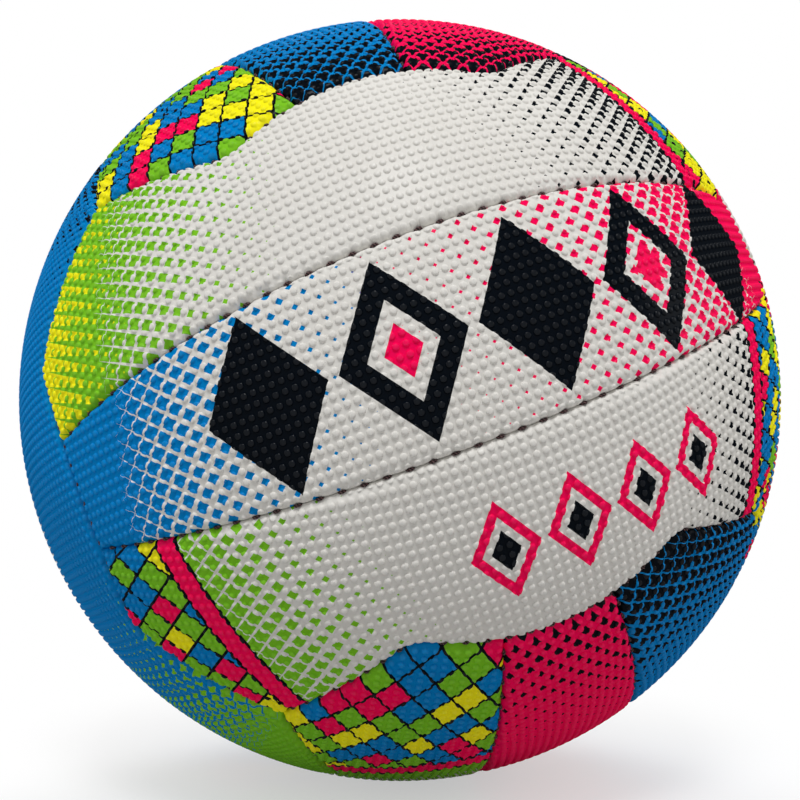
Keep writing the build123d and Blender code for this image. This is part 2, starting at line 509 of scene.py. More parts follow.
@dataclass(frozen=True)
class StripForm:
    """The pimpled tray that a cover strip is moulded and folded to, in its face's frame."""

    kind: StripKind

    # How an outline is found: in columns along the strip, by halving between what fits and what doesn't.
    outline_columns: int = 1601
    search_steps: int = 44
    end_gap: float = 0.001
    lune_limit: float = radians(52)

    # The folded edge, how far the stitches draw it in, and the lines of vertices that follow it.
    crease: float = 0.03
    fold_width: float = 2.1
    fold_depth: float = 1.45
    stitch_depth: float = 0.7
    fold_levels: tuple[float, ...] = (0.12, 0.26, 0.45, 0.7, 1.0, 1.4)
    fold_step: float = 0.46

    # The pimples, and their rings of vertices: share of the radius, corners and turn.
    pimple_pitch: tuple[float, float] = (2.17, 2.32)
    pimple_radius: float = 0.87
    pimple_height: float = 0.46
    pimple_fullness: float = 2.7
    pimple_rings: tuple[tuple[float, int, float], ...] = ((0.48, 6, 0.0), (0.79, 12, 0.0), (1.0, 12, pi / 12))
    past_edge: float = 0.5
    bare_edge: float = 0.1
    edge_fade: float = 0.45
    foot_width: float = 1e-4
    foot_room: float = 0.06
    between_room: float = 0.3

    # The back, with the pocket that the lining lies in.
    turned_edge: float = 1.9
    turned_step: float = 2.0
    pocket_wall: float = 0.1
    back_step: float = 7.0
    back_depth: float = 1.62
    edge_depth: float = 2.85
    grid_room: float = 1.0

    # The valve's hole and the bare ring around it.
    valve_hole: float = 4.62
    valve_rim: float = 1.1
    valve_bare: float = 3.2
    valve_levels: tuple[float, ...] = (0.06, 0.16, 0.32, 0.55, 0.85, 1.2, 1.8, 2.6)
    valve_corners: int = 72

    # The bake map: where each part starts on it and how far it goes.
    map_along: tuple[float, float] = (0.01, 0.98)
    map_top: tuple[float, float] = (0.22, 0.77)
    map_back: tuple[float, float] = (0.01, 0.18)

    @cached_property
    def centre_lune(self) -> float:
        """Angle around X of the strip's middle line."""
        return LAYOUT.strip_angle if self.kind is StripKind.SIDE else 0.0

    @cached_property
    def grid_reach(self) -> int:
        """How many pimples there are at most from the strip's middle to its ends."""
        return int(LAYOUT.radius * LAYOUT.end_angle / min(self.pimple_pitch)) + 1

    @cached_property
    def flat_axes(self) -> Array:
        """The strip's own axes in its face's frame, as rows: along it, across it and outward.

        Returns:
            The three axes.
        """
        turn_sin = sin(self.centre_lune)
        turn_cos = cos(self.centre_lune)
        return np.array([[1.0, 0.0, 0.0], [0.0, turn_cos, -turn_sin], [0.0, turn_sin, turn_cos]])

    def flat(self, points: Array) -> Array:
        """Lengths along and across the strip from its middle to points, as if it were laid flat."""
        along, across, outward = (points @ axis for axis in self.flat_axes)
        return np.stack([LAYOUT.radius * np.arctan2(along, outward), LAYOUT.arc(across)], axis=-1)

    def on_ball(self, flat: Array) -> Array:
        """Unit vectors to flat places.

        Args:
            flat: flat places, on the last axis.

        Returns:
            The vectors in the face's frame.
        """
        along = flat[..., :1] / LAYOUT.radius
        across = flat[..., 1:] / LAYOUT.radius
        level = np.cos(across)
        parts = np.concatenate([level * np.sin(along), np.sin(across), level * np.cos(along)], axis=-1)
        return parts @ self.flat_axes

    def end_room(self, points: Array) -> Array:
        """How far points lie inside the seams at the ends and on the outer side of a side strip.

        Args:
            points: unit vectors in the face's frame.

        Returns:
            Lengths on the ball, below zero outside.
        """
        room = -LAYOUT.ends_distance(in_next_face(points), 1)
        for end in (1, -1):
            room = np.minimum(room, LAYOUT.ends_distance(points, end))
        return room

    def edge_distance(self, points: Array) -> Array:
        """How far points lie inside the strip's outline, as lengths on the ball.

        Args:
            points: unit vectors in the face's frame.

        Returns:
            The lengths, below zero outside.
        """
        if self.kind is StripKind.SIDE:
            return np.minimum(LAYOUT.arc(points @ LAYOUT.seam_side(1)), self.end_room(points))
        to_end = LAYOUT.radius * LAYOUT.end_angle - np.abs(LAYOUT.arc(points[..., 0]))
        sides = [-LAYOUT.arc(points @ LAYOUT.seam_side(side)) for side in (1, -1)]
        return np.minimum(to_end, np.minimum(*sides))

    def stitch_pull(self, points: Array) -> Array:
        """How strongly the stitches around the strip draw it in at points, from 0 to 1.

        Args:
            points: unit vectors in the face's frame.

        Returns:
            The strength at each point.
        """
        own = [SeamRun(RunKind.STRIP, side=1), SeamRun(RunKind.END, end=1), SeamRun(RunKind.END, end=-1)]
        beyond = []
        if self.kind is StripKind.SIDE:
            own += [SeamRun(RunKind.FLANK, end=end) for end in (1, -1)]
            beyond = [SeamRun(RunKind.END)] + [SeamRun(RunKind.FLANK, side=side) for side in (1, -1)]
        else:
            own.append(SeamRun(RunKind.STRIP, side=-1))
        pulls = [run.pull(points) for run in own]
        pulls += [run.pull(in_next_face(points)) for run in beyond]
        return np.max(pulls, axis=0)

    def outline(self, level: float, step: float) -> Array:
        """The closed line a given length inside the strip's outline.

        Args:
            level: the length from the seams.
            step: about how far apart its points are.

        Returns:
            Flat places in order, anticlockwise from outside.
        """
        reach = LAYOUT.end_angle - (level + self.end_gap) / LAYOUT.radius
        along = reach * np.sin(np.linspace(-pi / 2, pi / 2, self.outline_columns))
        inset = np.arcsin(np.sin(level / LAYOUT.radius) / np.cos(along))
        seam = LAYOUT.strip_angle / 2
        if self.kind is StripKind.SIDE:
            low = seam + inset
            high = np.full(along.shape, seam + inset)
            outside = np.full(along.shape, self.lune_limit)
            for _ in range(self.search_steps):
                halfway = (high + outside) / 2
                fits = self.end_room(direction(along, halfway)) > level
                high = np.where(fits, halfway, high)
                outside = np.where(fits, outside, halfway)
        else:
            low = inset - seam
            high = seam - inset
        line = np.concatenate([direction(along, low), direction(along, high)[::-1]])
        return evenly_spaced(self.flat(line), step)

    def pimple_centres(self) -> Array:
        """Flat places of the pimples.

        Returns:
            The pimples' middles, one row each.
        """
        steps = np.arange(-self.grid_reach, self.grid_reach) + 0.5
        grid = np.stack(np.meshgrid(steps, steps, indexing="ij"), axis=-1).reshape(-1, 2) * self.pimple_pitch
        return grid[self.has_pimple(grid)]

    def has_pimple(self, centres: Array) -> Array:
        """Whether there is room for a pimple at flat places.

        Args:
            centres: the pimples' middles.

        Returns:
            A truth value for each place.
        """
        room = self.edge_distance(self.on_ball(centres)) > -self.past_edge
        if self.kind is StripKind.VALVE:
            bare = self.valve_hole + self.valve_bare + self.pimple_radius
            room &= np.linalg.norm(centres, axis=-1) > bare
        return room

    def nearest_centre(self, flat: Array) -> Array:
        """The middle of the pimple cell that flat places lie in."""
        return (np.floor(flat / np.array(self.pimple_pitch)) + 0.5) * self.pimple_pitch

    def dome_heights(self, flat: Array) -> Array:
        """How far the pimples stand out at flat places.

        Args:
            flat: flat places, on the last axis.

        Returns:
            The heights.
        """
        edge = self.edge_distance(self.on_ball(flat))
        centre = self.nearest_centre(flat)
        share = np.minimum(np.linalg.norm(flat - centre, axis=-1) / self.pimple_radius, 1)
        dome = self.pimple_height * (1 - share**self.pimple_fullness) ** (1 / self.pimple_fullness)
        return dome * self.has_pimple(centre) * np.clip((edge - self.bare_edge) / self.edge_fade, 0, 1)

    def heights(self, flat: Array) -> Array:
        """Radius of the moulded and folded surface at flat places.

        Args:
            flat: flat places, on the last axis.

        Returns:
            The radii.
        """
        points = self.on_ball(flat)
        edge = self.edge_distance(points)
        rolled = np.clip(1 - edge / self.fold_width, 0, 1)
        drop = self.fold_depth * (1 - np.sqrt(1 - rolled**2))
        drop += self.stitch_depth * self.stitch_pull(points)
        if self.kind is StripKind.VALVE:
            from_hole = np.linalg.norm(flat, axis=-1) - self.valve_hole
            rolled = np.clip(1 - from_hole / self.valve_rim, 0, 1)
            drop += self.valve_rim * (1 - np.sqrt(1 - rolled**2))
        return LAYOUT.radius - self.pimple_height + self.dome_heights(flat) - drop

    def foot_numbers(self, flat: Array) -> Array:
        """The number of the pimple whose foot a flat place lies on, or the mark for none.

        Args:
            flat: flat places, on the last axis.

        Returns:
            A number for each place.
        """
        off = np.linalg.norm(flat - self.nearest_centre(flat), axis=-1)
        on_foot = np.abs(off - self.pimple_radius) < self.foot_width
        column, row = np.floor(flat / np.array(self.pimple_pitch)).astype(int).T
        reach = self.grid_reach
        return np.where(on_foot, (column + reach) * 2 * reach + row + reach, NO_PIMPLE)

    def top_places(self) -> tuple[Array, list[int]]:
        """Flat places of the top's vertices.

        Returns:
            The places, the outline's and the hole's first, and the sizes of those lines.
        """
        loops = [self.outline(self.crease, self.fold_step)]
        hole = np.zeros((1, 2))
        free = [self.outline(level, self.fold_step) for level in self.fold_levels]
        if self.kind is StripKind.VALVE:
            loops.append(ring_points(hole, self.valve_hole, self.valve_corners))
            for level in self.valve_levels:
                free.append(ring_points(hole, self.valve_hole + level, self.valve_corners))
        rows = np.concatenate(free)
        nearest = self.nearest_centre(rows)
        near = np.linalg.norm(rows - nearest, axis=-1) < self.pimple_radius + self.foot_room
        rows = rows[~(near & self.has_pimple(nearest))]
        centres = self.pimple_centres()
        domes = [centres]
        for share, corners, turn in self.pimple_rings:
            domes.append(ring_points(centres, share * self.pimple_radius, corners, turn))
        domes = np.concatenate(domes)
        domes = domes[self.edge_distance(self.on_ball(domes)) > self.fold_levels[0]]
        between = centres + np.array(self.pimple_pitch) / 2
        inside = self.edge_distance(self.on_ball(between)) > self.fold_levels[-1] + self.between_room
        between = between[inside]
        return np.concatenate([*loops, rows, domes, between]), [len(loop) for loop in loops]

    def back_places(self, loops: Array) -> tuple[Array, Array]:
        """Flat places and depths of the back's vertices.

        Args:
            loops: the outline's and the hole's places on the top, which come first here too.

        Returns:
            The places and their depths under the ball's surface.
        """
        levels = (self.turned_edge, self.turned_edge + self.pocket_wall)
        turned = [self.outline(level, self.turned_step) for level in levels]
        half = LAYOUT.radius * LAYOUT.end_angle
        steps = np.arange(-half, half, self.back_step)
        grid = np.stack(np.meshgrid(steps, steps, indexing="ij"), axis=-1).reshape(-1, 2)
        grid = grid[self.edge_distance(self.on_ball(grid)) > self.turned_edge + self.grid_room]
        if self.kind is StripKind.VALVE:
            grid = grid[np.linalg.norm(grid, axis=-1) > self.valve_hole + self.grid_room]
        places = np.concatenate([loops, *turned, grid])
        in_pocket = self.edge_distance(self.on_ball(places)) > self.turned_edge + self.pocket_wall / 2
        return places, np.where(in_pocket, self.back_depth, self.edge_depth)

    def map_places(self, flat: Array, top_count: int) -> Array:
        """Lays the top and the back out side by side on a square map.

        Args:
            flat: flat places of all vertices, the top's first.
            top_count: how many of them are the top's.

        Returns:
            Places on the map, from 0 to 1.
        """
        share = flat / (2 * np.abs(flat).max(0)) + 0.5
        is_top = np.arange(len(flat)) < top_count
        start, span = np.where(is_top[:, None], self.map_top, self.map_back).T
        along_start, along_span = self.map_along
        return np.stack([along_start + along_span * share[:, 0], start + span * share[:, 1]], axis=-1)

    def shape(self) -> StripShape:
        """Works the tray out: its pimpled top, the turned edge around it and its back.

        Returns:
            The tray's mesh.
        """
        top, sizes = self.top_places()
        back, depth = self.back_places(top[: sum(sizes)])
        flat = np.concatenate([top, back])
        radius = np.concatenate([self.heights(top), LAYOUT.radius - depth])
        faces = [triangles_inside(top, sizes), triangles_inside(back, sizes)[:, ::-1] + len(top)]
        for first, size, inward in zip((0, sizes[0]), sizes, (1, -1)):
            start, stop = np.array(loop_edges(first, size)).T
            wall = np.stack([start, start + len(top), stop + len(top), stop], axis=-1)
            faces.append(wall[:, ::inward])
        loops = np.concatenate([part.ravel() for part in faces])
        counts = np.concatenate([np.full(len(part), part.shape[1]) for part in faces])
        lift = np.concatenate([self.dome_heights(top) / self.pimple_height, np.zeros(len(back))])
        feet = np.concatenate([self.foot_numbers(top), np.full(len(back), NO_PIMPLE)])
        points = self.on_ball(flat) * radius[:, None]
        return StripShape(points, flat, lift, feet, self.map_places(flat, len(top)), loops, counts)


class NodeSheet:
    """A node tree with short ways to add and join nodes."""

    def __init__(self, tree: bpy.types.NodeTree) -> None:
        """Takes over a tree."""
        self.tree = tree

    def add(self, kind: str, **settings: object) -> bpy.types.Node:
        """Adds a node.

        Args:
            kind: the node's type name.
            settings: properties to set on it.

        Returns:
            The node.
        """
        node = self.tree.nodes.new(kind)
        for name, value in settings.items():
            setattr(node, name, value)
        return node

    def feed(self, socket: Socket, value: object) -> None:
        """Joins a socket to an output, or sets it to a plain value.

        Args:
            socket: the socket that is fed.
            value: an output or a plain value.
        """
        if isinstance(value, bpy.types.NodeSocket):
            self.tree.links.new(value, socket)
        else:
            socket.default_value = value

    def math(self, operation: str, *values: object, clamp: bool = False) -> Socket:
        """Adds a Math node.

        Args:
            operation: the node's operation.
            values: outputs or numbers for its inputs.
            clamp: whether the result is kept between 0 and 1.

        Returns:
            Its output.
        """
        node = self.add("ShaderNodeMath", operation=operation, use_clamp=clamp)
        for socket, value in zip(node.inputs, values):
            self.feed(socket, value)
        return node.outputs[0]

    def mix(self, share: object, first: object, second: object, blend: str = "MIX") -> Socket:
        """Mixes two colours.

        Args:
            share: how much of the second there is.
            first: a colour or an output.
            second: a colour or an output.
            blend: how the second goes over the first.

        Returns:
            The mixed colour.
        """
        node = self.add("ShaderNodeMix", data_type="RGBA", blend_type=blend)
        self.feed(node.inputs[0], share)
        self.feed(node.inputs[MIX_FIRST], first)
        self.feed(node.inputs[MIX_SECOND], second)
        return node.outputs[MIX_RESULT]

    def split(self, vector: Socket) -> tuple[Socket, Socket]:
        """The first two parts of a vector.

        Args:
            vector: the vector.

        Returns:
            The two parts.
        """
        node = self.add("ShaderNodeSeparateXYZ")
        self.feed(node.inputs[0], vector)
        return node.outputs[0], node.outputs[1]

    def attribute(self, name: str, output: str) -> Socket:
        """One output of a new node that reads an attribute of the mesh."""
        return self.add("ShaderNodeAttribute", attribute_name=name).outputs[output]

    def bump(self, height: Socket, strength: float, depth: float) -> Socket:
        """Adds a Bump node.

        Args:
            height: the height it follows.
            strength: how strongly it shows.
            depth: how deep a height of one is, in millimetres.

        Returns:
            The bent normal.
        """
        node = self.add("ShaderNodeBump")
        self.feed(node.inputs["Strength"], strength)
        self.feed(node.inputs["Distance"], depth * METRES)
        self.feed(node.inputs["Height"], height)
        return node.outputs[0]

    def group(self, tree: bpy.types.NodeTree, **values: object) -> bpy.types.Node:
        """Places a node group.

        Args:
            tree: the group.
            values: what its inputs are fed, named in lower case with underscores.

        Returns:
            The node.
        """
        node = self.add("ShaderNodeGroup", node_tree=tree)
        for name, value in values.items():
            self.feed(node.inputs[name.replace("_", " ").title()], value)
        return node


class GroupSheet(NodeSheet):
    """A node group being built, with named inputs and outputs."""

    def __init__(self, name: str, inputs: dict[str, str], outputs: dict[str, str]) -> None:
        """Starts a group.

        Args:
            name: the group's name.
            inputs: names of its inputs and their kinds, such as Float.
            outputs: names of its outputs and their kinds.
        """
        super().__init__(bpy.data.node_groups.new(name, "ShaderNodeTree"))
        for way, sockets in (("INPUT", inputs), ("OUTPUT", outputs)):
            for socket, kind in sockets.items():
                self.tree.interface.new_socket(socket, in_out=way, socket_type=f"NodeSocket{kind}")
        self.given = self.add("NodeGroupInput").outputs
        self.result = self.add("NodeGroupOutput").inputs

    def lozenge_cells(self) -> tuple[Socket, Socket, Socket]:
        """Lays a net of lozenges over the flat place.

        Returns:
            The number of each cell both ways, and how far out in its cell a point is, from 0 to 1.
        """
        along, across = self.split(self.given["Flat"])
        part_along = self.math("DIVIDE", along, self.given["Length"])
        part_across = self.math("DIVIDE", across, self.given["Height"])
        ways = [self.math("ADD", part_along, part_across), self.math("SUBTRACT", part_along, part_across)]
        cells = [self.math("FLOOR", way) for way in ways]
        outs = []
        for way in ways:
            centred = self.math("SUBTRACT", self.math("FRACT", way), 0.5)
            outs.append(self.math("ABSOLUTE", centred))
        return cells[0], cells[1], self.math("MULTIPLY", self.math("MAXIMUM", *outs), 2.0)


class PrintGroups:
    """The node groups that the materials share, each built once."""

    patch_shares: dict[str, float] = {"B": 0.38, "C": 0.58, "D": 0.84}
    cloud_share: float = 0.02

    def __init__(self) -> None:
        """Builds the groups."""
        self.fade = self.lozenge_fade()
        self.harlequin = self.harlequin_field(self.patch_shares)
        self.band = self.outlined_band()
        self.row = self.lozenge_row()
        self.grain = self.rubber_grain(self.cloud_share)
        self.weave = self.cloth_weave()

    @staticmethod
    def lozenge_fade() -> bpy.types.NodeTree:
        """A screen of lozenges whose size follows an amount.

        Returns:
            The group.
        """
        inputs = {"Flat": "Vector", "Length": "Float", "Height": "Float", "Amount": "Float"}
        sheet = GroupSheet("lozenge_fade", inputs, {"Mask": "Float"})
        out = sheet.lozenge_cells()[2]
        sheet.feed(sheet.result["Mask"], sheet.math("LESS_THAN", out, sheet.given["Amount"]))
        return sheet.tree

    @staticmethod
    def harlequin_field(patch_shares: dict[str, float]) -> bpy.types.NodeTree:
        """A patchwork of lozenges in four inks with a line between them.

        Args:
            patch_shares: the random number above which a patch takes each further ink.

        Returns:
            The group.
        """
        inputs = {"Flat": "Vector", "Length": "Float", "Height": "Float"}
        inputs |= {"Line": "Float", "Line Ink": "Color", "Seed": "Float"}
        inputs |= {f"Ink {letter}": "Color" for letter in "ABCD"}
        sheet = GroupSheet("harlequin_field", inputs, {"Color": "Color"})
        first, second, out = sheet.lozenge_cells()
        cell = sheet.add("ShaderNodeCombineXYZ")
        for socket, value in zip(cell.inputs, (first, second, sheet.given["Seed"])):
            sheet.feed(socket, value)
        pick = sheet.add("ShaderNodeTexWhiteNoise", noise_dimensions="3D")
        sheet.feed(pick.inputs["Vector"], cell.outputs[0])
        color = sheet.given["Ink A"]
        for letter, share in patch_shares.items():
            above = sheet.math("GREATER_THAN", pick.outputs["Value"], share)
            color = sheet.mix(above, color, sheet.given[f"Ink {letter}"])
        edge = sheet.math("GREATER_THAN", out, sheet.math("SUBTRACT", 1.0, sheet.given["Line"]))
        sheet.feed(sheet.result["Color"], sheet.mix(edge, color, sheet.given["Line Ink"]))
        return sheet.tree

    @staticmethod
    def outlined_band() -> bpy.types.NodeTree:
        """A straight band with a line along both edges.

        Returns:
            The group.
        """
        inputs = {"Offset": "Float", "Half Width": "Float", "Line": "Float"}
        sheet = GroupSheet("outlined_band", inputs, {"Band": "Float", "Outline": "Float"})
        off = sheet.math("ABSOLUTE", sheet.given["Offset"])
        outside = sheet.math("ADD", sheet.given["Half Width"], sheet.given["Line"])
        sheet.feed(sheet.result["Band"], sheet.math("LESS_THAN", off, sheet.given["Half Width"]))
        sheet.feed(sheet.result["Outline"], sheet.math("LESS_THAN", off, outside))
        return sheet.tree

    @staticmethod
    def lozenge_row() -> bpy.types.NodeTree:
        """A row of lozenges along a strip, some of them rings with a core.

        Returns:
            The group.
        """
        names = ("Pitch", "Half Length", "Half Height", "Start", "Stop", "Open", "Core", "Every")
        inputs = {"Flat": "Vector"} | {name: "Float" for name in names}
        sheet = GroupSheet("lozenge_row", inputs, {"Mask": "Float", "Core": "Float"})
        given = sheet.given
        along, across = sheet.split(given["Flat"])
        share = sheet.math("DIVIDE", along, given["Pitch"])
        centred = sheet.math("SUBTRACT", sheet.math("FRACT", share), 0.5)
        off_centre = sheet.math("MULTIPLY", centred, given["Pitch"])
        off_along = sheet.math("DIVIDE", off_centre, given["Half Length"])
        off_across = sheet.math("DIVIDE", across, given["Half Height"])
        out = sheet.math("ADD", sheet.math("ABSOLUTE", off_along), sheet.math("ABSOLUTE", off_across))
        filled = sheet.math("LESS_THAN", out, 1.0)
        odd = sheet.math("FLOORED_MODULO", sheet.math("FLOOR", share), 2.0)
        ring = sheet.math("MAXIMUM", odd, given["Every"])
        hollow = sheet.math("MULTIPLY", sheet.math("LESS_THAN", out, given["Open"]), ring)
        started = sheet.math("GREATER_THAN", along, given["Start"])
        within = sheet.math("MULTIPLY", started, sheet.math("LESS_THAN", along, given["Stop"]))
        shown = sheet.math("MULTIPLY", filled, sheet.math("SUBTRACT", 1.0, hollow))
        core = sheet.math("MULTIPLY", sheet.math("LESS_THAN", out, given["Core"]), ring)
        sheet.feed(sheet.result["Mask"], sheet.math("MULTIPLY", shown, within))
        sheet.feed(sheet.result["Core"], sheet.math("MULTIPLY", core, within))
        return sheet.tree

    @staticmethod
    def rubber_grain(cloud_share: float) -> bpy.types.NodeTree:
        """The fine, uneven skin of moulded rubber.

        Args:
            cloud_share: the scale of the slow clouds as a share of the fine grain's.

        Returns:
            The group.
        """
        inputs = {"Scale": "Float", "Low": "Float", "High": "Float"}
        outputs = {"Roughness": "Float", "Height": "Float", "Cloud": "Float"}
        sheet = GroupSheet("rubber_grain", inputs, outputs)
        place = sheet.add("ShaderNodeTexCoord").outputs["Object"]
        scale = sheet.given["Scale"]
        noises = []
        for noise_scale in (scale, sheet.math("MULTIPLY", scale, cloud_share)):
            noise = sheet.add("ShaderNodeTexNoise")
            sheet.feed(noise.inputs["Vector"], place)
            sheet.feed(noise.inputs["Scale"], noise_scale)
            noises.append(noise.outputs[0])
        fine, cloud = noises
        spread = sheet.math("SUBTRACT", sheet.given["High"], sheet.given["Low"])
        roughness = sheet.math("MULTIPLY_ADD", cloud, spread, sheet.given["Low"])
        for name, value in (("Roughness", roughness), ("Height", fine), ("Cloud", cloud)):
            sheet.feed(sheet.result[name], value)
        return sheet.tree

    @staticmethod
    def cloth_weave() -> bpy.types.NodeTree:
        """A plain weave that needs no map.

        Returns:
            The group.
        """
        sheet = GroupSheet("cloth_weave", {"Scale": "Float"}, {"Height": "Float"})
        place = sheet.add("ShaderNodeTexCoord").outputs["Object"]
        waves = []
        for way in ("X", "Z"):
            wave = sheet.add("ShaderNodeTexWave", bands_direction=way)
            sheet.feed(wave.inputs["Vector"], place)
            sheet.feed(wave.inputs["Scale"], sheet.given["Scale"])
            waves.append(wave.outputs["Fac"])
        sheet.feed(sheet.result["Height"], sheet.math("MAXIMUM", *waves))
        return sheet.tree


def new_material(name: str) -> tuple[Material, NodeSheet, bpy.types.Node]:
    """Makes an empty material.

    Args:
        name: its name.

    Returns:
        The material, its node sheet and its Principled shader.
    """
    material = bpy.data.materials.new(name)
    material.use_nodes = True
    material.node_tree.nodes.clear()
    sheet = NodeSheet(material.node_tree)
    shader = sheet.add("ShaderNodeBsdfPrincipled")
    output = sheet.add("ShaderNodeOutputMaterial")
    sheet.feed(output.inputs["Surface"], shader.outputs[0])
    return material, sheet, shader


@dataclass(frozen=True)
class PlainFinish:
    """A one-colour rubber, thread or cloth finish with its own grain, and a second colour for clouds of wear
    or for a painted highlight.
    """

    name: str
    colour: tuple[float, float, float]
    worn_or_highlight_colour: tuple[float, float, float]
    low_roughness: float
    high_roughness: float
    grain_scale: float
    bump: float
    woven: bool = False
    shine: float = 0.5
    highlight_where: str = ""
    bump_depth: float = 0.1

    def make(self, groups: PrintGroups) -> Material:
        """Builds the material, with a painted highlight in the second colour where the named attribute is
        high, or else clouds of wear.

        Args:
            groups: the shared node groups.

        Returns:
            The material.
        """
        material, sheet, shader = new_material(self.name)
        grain = sheet.group(groups.grain, scale=self.grain_scale, low=self.low_roughness,
                            high=self.high_roughness)
        # The second colour is a painted highlight where the named attribute is high, such as the thread's ply
        # crests, or else clouds of wear.
        wear_or_highlight = sheet.attribute(self.highlight_where, "Fac") if self.highlight_where else grain.outputs["Cloud"]
        colour = sheet.mix(wear_or_highlight, linear_colour(*self.colour), linear_colour(*self.worn_or_highlight_colour))
        sheet.feed(shader.inputs["Base Color"], colour)
        sheet.feed(shader.inputs["Roughness"], grain.outputs["Roughness"])
        shader.inputs["Specular IOR Level"].default_value = self.shine
        height = grain.outputs["Height"]
        if self.woven:
            height = sheet.group(groups.weave, scale=self.grain_scale).outputs["Height"]
        sheet.feed(shader.inputs["Normal"], sheet.bump(height, self.bump, self.bump_depth))
        return material


# The thread's lighter second colour along the crests of its plies is a painted highlight, not wear.
THREAD = PlainFinish("waxed_thread", (8, 6, 9), (124, 92, 92), 0.38, 0.6, 4000.0, 0.5, shine=0.15,
                     highlight_where=PLY_LIFT)
LINING = PlainFinish("laminated_cloth", (206, 198, 180), (188, 178, 158), 0.75, 0.9, 900.0, 0.8, woven=True)
BUTYL = PlainFinish("butyl_bladder", (30, 30, 31), (44, 43, 42), 0.45, 0.65, 1500.0, 0.4)
BOOT = PlainFinish("valve_rubber", (34, 34, 36), (50, 50, 52), 0.4, 0.6, 2500.0, 0.4)
CORE = PlainFinish("valve_plug_rubber", (62, 62, 64), (80, 80, 82), 0.45, 0.65, 2500.0, 0.4)


@dataclass(frozen=True)
class EndField:
    """The print at one end of a strip: an ink that fades towards the middle, and what lies beyond it."""

    ink: Ink
    starts: float
    full: float
    over_from: float | None = None
    over_ink: Ink = Ink.NAVY
    band_at: float | None = None
    band_ink: Ink = Ink.MAGENTA


@dataclass(frozen=True)
class LozengeRow:
    """A row of lozenges along the middle of a strip. Places are lengths from the strip's middle.

    Every second lozenge is a ring with a core, or each one if every is 1. The ring's opening and the core
    reach out to the shares open and core of the lozenge.
    """

    ring_ink: Ink
    core_ink: Ink
    pitch: float
    half_length: float
    half_height: float
    start: float
    stop: float
    open: float
    core: float
    every: float = 0.0

    def over(self, sheet: NodeSheet, groups: PrintGroups, flat: Socket, ground: object) -> Socket:
        """Prints the row.

        Args:
            sheet: the material's nodes.
            groups: the shared node groups.
            flat: the flat place on the strip.
            ground: the colour printed on.

        Returns:
            The colour with the row printed.
        """
        node = sheet.group(groups.row, flat=flat, pitch=self.pitch, half_length=self.half_length,
                           half_height=self.half_height, start=self.start, stop=self.stop, open=self.open,
                           core=self.core, every=self.every)
        colour = sheet.mix(node.outputs["Mask"], ground, self.ring_ink.linear())
        return sheet.mix(node.outputs["Core"], colour, self.core_ink.linear())


LARGE_ROW = LozengeRow(Ink.NAVY, Ink.MAGENTA, pitch=30.0, half_length=13.9, half_height=19.5,
                       start=-60.0, stop=90.0, open=0.56, core=0.3)
SMALL_ROW = LozengeRow(Ink.MAGENTA, Ink.NAVY, pitch=17.0, half_length=7.8, half_height=11.5,
                       start=-51.0, stop=17.0, open=0.68, core=0.42, every=1.0)


